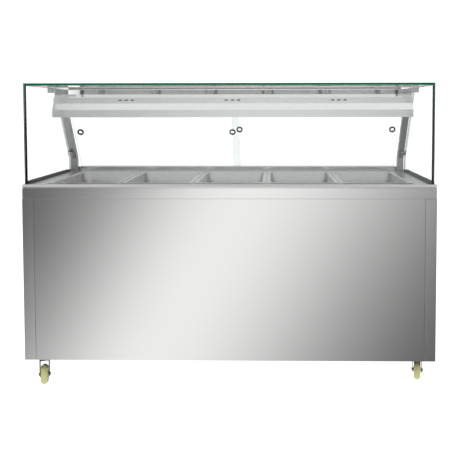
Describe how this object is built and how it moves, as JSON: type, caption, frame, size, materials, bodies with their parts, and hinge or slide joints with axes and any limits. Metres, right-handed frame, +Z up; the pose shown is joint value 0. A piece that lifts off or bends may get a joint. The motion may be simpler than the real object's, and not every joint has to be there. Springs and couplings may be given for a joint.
{
  "type": "steam table unit",
  "caption": "Mobile hot food counter on casters: heated pan wells in a stainless cabinet, flat glass guard, lamp canopy and sliding glass at the operator's side.",
  "frame": {"origin": "on the floor under the centre of the cabinet", "axes": "+X along the counter to the customer's right, +Y to the operator's side, +Z up"},
  "size_m": [1.85, 0.7, 1.378],
  "materials": {
    "counter_steel": "satin brushed stainless",
    "panel_steel": "brushed stainless, long grain",
    "inner_steel": "dull rolled stainless",
    "canopy_steel": "fine brushed stainless",
    "pan_steel": "polished drawn stainless",
    "frame_steel": "galvanised",
    "guard_glass": "clear float glass with green edges",
    "door_glass": "clear glass",
    "rail_rubber": "dark channel",
    "clamp_metal": "plated",
    "ring_plastic": "black moulded",
    "lamp_white": "opal",
    "reflector_white": "white enamel",
    "heater_metal": "dark sheath",
    "brass": "cast and machined",
    "lever_red": "dipped sleeve",
    "control_black": "moulded",
    "power_red": "moulded rocker",
    "light_green": "moulded rocker",
    "pilot_amber": "amber lens",
    "thermostat_grey": "moulded case",
    "caster_black": "black enamel",
    "wheel_tread": "pale olive polyurethane",
    "plate_zinc": "zinc plated"
  },
  "bodies": {
    "cabinet": {"base_frame": "frame_steel", "bottom_shelf": "inner_steel", "corner_strips": "panel_steel", "front_panel": "panel_steel", "left_side_panel": "panel_steel", "right_side_panel": "panel_steel", "counter_top": "counter_steel", "water_tank": "inner_steel", "divider_bars": "counter_steel", "heating_elements": "heater_metal", "drain_pipe": "inner_steel", "drain_valve": "brass", "control_panel": "panel_steel", "thermostat": "thermostat_grey", "switch_housings": "control_black", "pilot_lamp": "pilot_amber", "cable_gland": "control_black", "cupboard_tracks": "inner_steel", "front_glass": "guard_glass", "left_glass": "guard_glass", "right_glass": "guard_glass", "top_glass": "guard_glass", "glass_rails": "rail_rubber", "left_post": "counter_steel", "right_post": "counter_steel", "glass_clamps": "clamp_metal", "glass_brackets": "clamp_metal", "canopy_valance": "canopy_steel", "canopy_end_plates": "canopy_steel", "lamp_reflector": "reflector_white", "lamp_tube": "lamp_white", "lamp_holders": "lamp_white", "upper_door_track": "canopy_steel", "sill_track": "counter_steel", "caster_plates": "plate_zinc"},
    "pan_1_body": {"pan_1": "pan_steel"},
    "pan_2_body": {"pan_2": "pan_steel"},
    "pan_3_body": {"pan_3": "pan_steel"},
    "pan_4_body": {"pan_4": "pan_steel"},
    "pan_5_body": {"pan_5": "pan_steel"},
    "left_glass_door": {"door_glass_left": "door_glass", "door_rings_left": "ring_plastic"},
    "right_glass_door": {"door_glass_right": "door_glass", "door_rings_right": "ring_plastic"},
    "left_cupboard_door": {"cupboard_door_left": "panel_steel"},
    "right_cupboard_door": {"cupboard_door_right": "panel_steel"},
    "thermostat_knob_body": {"thermostat_knob": "control_black"},
    "power_switch": {"power_rocker": "power_red"},
    "light_switch": {"light_rocker": "light_green"},
    "drain_lever_body": {"drain_lever": "lever_red"},
    "caster_1": {"caster_fork_1": "caster_black"},
    "wheel_1": {"caster_wheel_1": "wheel_tread"},
    "caster_2": {"caster_fork_2": "caster_black"},
    "wheel_2": {"caster_wheel_2": "wheel_tread"},
    "caster_3": {"caster_fork_3": "caster_black"},
    "wheel_3": {"caster_wheel_3": "wheel_tread"},
    "brake_3": {"brake_pedal_3": "lever_red"},
    "caster_4": {"caster_fork_4": "caster_black"},
    "wheel_4": {"caster_wheel_4": "wheel_tread"},
    "brake_4": {"brake_pedal_4": "lever_red"}
  },
  "joints": [
    {"name": "pan_1_lift", "type": "slide", "parent": "cabinet", "child": "pan_1_body", "axis": [0, 0, 1], "range_m": [0, 0.11]},
    {"name": "pan_2_lift", "type": "slide", "parent": "cabinet", "child": "pan_2_body", "axis": [0, 0, 1], "range_m": [0, 0.11]},
    {"name": "pan_3_lift", "type": "slide", "parent": "cabinet", "child": "pan_3_body", "axis": [0, 0, 1], "range_m": [0, 0.11]},
    {"name": "pan_4_lift", "type": "slide", "parent": "cabinet", "child": "pan_4_body", "axis": [0, 0, 1], "range_m": [0, 0.11]},
    {"name": "pan_5_lift", "type": "slide", "parent": "cabinet", "child": "pan_5_body", "axis": [0, 0, 1], "range_m": [0, 0.11]},
    {"name": "left_glass_door_slide", "type": "slide", "parent": "cabinet", "child": "left_glass_door", "axis": [1, 0, 0], "range_m": [0, 0.84]},
    {"name": "right_glass_door_slide", "type": "slide", "parent": "cabinet", "child": "right_glass_door", "axis": [-1, 0, 0], "range_m": [0, 0.84]},
    {"name": "left_cupboard_door_slide", "type": "slide", "parent": "cabinet", "child": "left_cupboard_door", "axis": [1, 0, 0], "range_m": [0, 0.84]},
    {"name": "right_cupboard_door_slide", "type": "slide", "parent": "cabinet", "child": "right_cupboard_door", "axis": [-1, 0, 0], "range_m": [0, 0.84]},
    {"name": "thermostat_turn", "type": "hinge", "parent": "cabinet", "child": "thermostat_knob_body", "pos_m": [0.6, 0.33, 0.8075], "axis": [0, -1, 0], "range_deg": [0, 270]},
    {"name": "power_switch_rock", "type": "hinge", "parent": "cabinet", "child": "power_switch", "pos_m": [0.48, 0.316, 0.8075], "axis": [1, 0, 0], "range_deg": [0, 16]},
    {"name": "light_switch_rock", "type": "hinge", "parent": "cabinet", "child": "light_switch", "pos_m": [0.4, 0.316, 0.8075], "axis": [1, 0, 0], "range_deg": [0, 16]},
    {"name": "drain_lever_turn", "type": "hinge", "parent": "cabinet", "child": "drain_lever_body", "pos_m": [-0.7, 0.11, 0.589], "axis": [0, 1, 0], "range_deg": [0, 90]},
    {"name": "caster_1_swivel", "type": "hinge", "parent": "cabinet", "child": "caster_1", "pos_m": [-0.863, -0.268, 0.1147], "axis": [0, 0, 1], "continuous": true},
    {"name": "wheel_1_spin", "type": "hinge", "parent": "caster_1", "child": "wheel_1", "pos_m": [-0.85394, -0.30181, 0.045], "axis": [0.9659, 0.2588, 0], "continuous": true},
    {"name": "caster_2_swivel", "type": "hinge", "parent": "cabinet", "child": "caster_2", "pos_m": [0.863, -0.268, 0.1147], "axis": [0, 0, 1], "continuous": true},
    {"name": "wheel_2_spin", "type": "hinge", "parent": "caster_2", "child": "wheel_2", "pos_m": [0.87087, -0.2339, 0.045], "axis": [-0.9744, 0.225, 0], "continuous": true},
    {"name": "caster_3_swivel", "type": "hinge", "parent": "cabinet", "child": "caster_3", "pos_m": [-0.863, 0.268, 0.1147], "axis": [0, 0, 1], "continuous": true},
    {"name": "wheel_3_spin", "type": "hinge", "parent": "caster_3", "child": "wheel_3", "pos_m": [-0.87028, 0.23376, 0.045], "axis": [0.9781, -0.2079, 0], "continuous": true},
    {"name": "brake_3_press", "type": "hinge", "parent": "caster_3", "child": "brake_3", "pos_m": [-0.87236, 0.22398, 0.1027], "axis": [0.9781, -0.2079, 0], "range_deg": [0, 12]},
    {"name": "caster_4_swivel", "type": "hinge", "parent": "cabinet", "child": "caster_4", "pos_m": [0.863, 0.268, 0.1147], "axis": [0, 0, 1], "continuous": true},
    {"name": "wheel_4_spin", "type": "hinge", "parent": "caster_4", "child": "wheel_4", "pos_m": [0.87497, 0.23511, 0.045], "axis": [0.9397, 0.342, 0], "continuous": true},
    {"name": "brake_4_press", "type": "hinge", "parent": "caster_4", "child": "brake_4", "pos_m": [0.87839, 0.22571, 0.1027], "axis": [0.9397, 0.342, 0], "range_deg": [0, 12]}
  ]
}
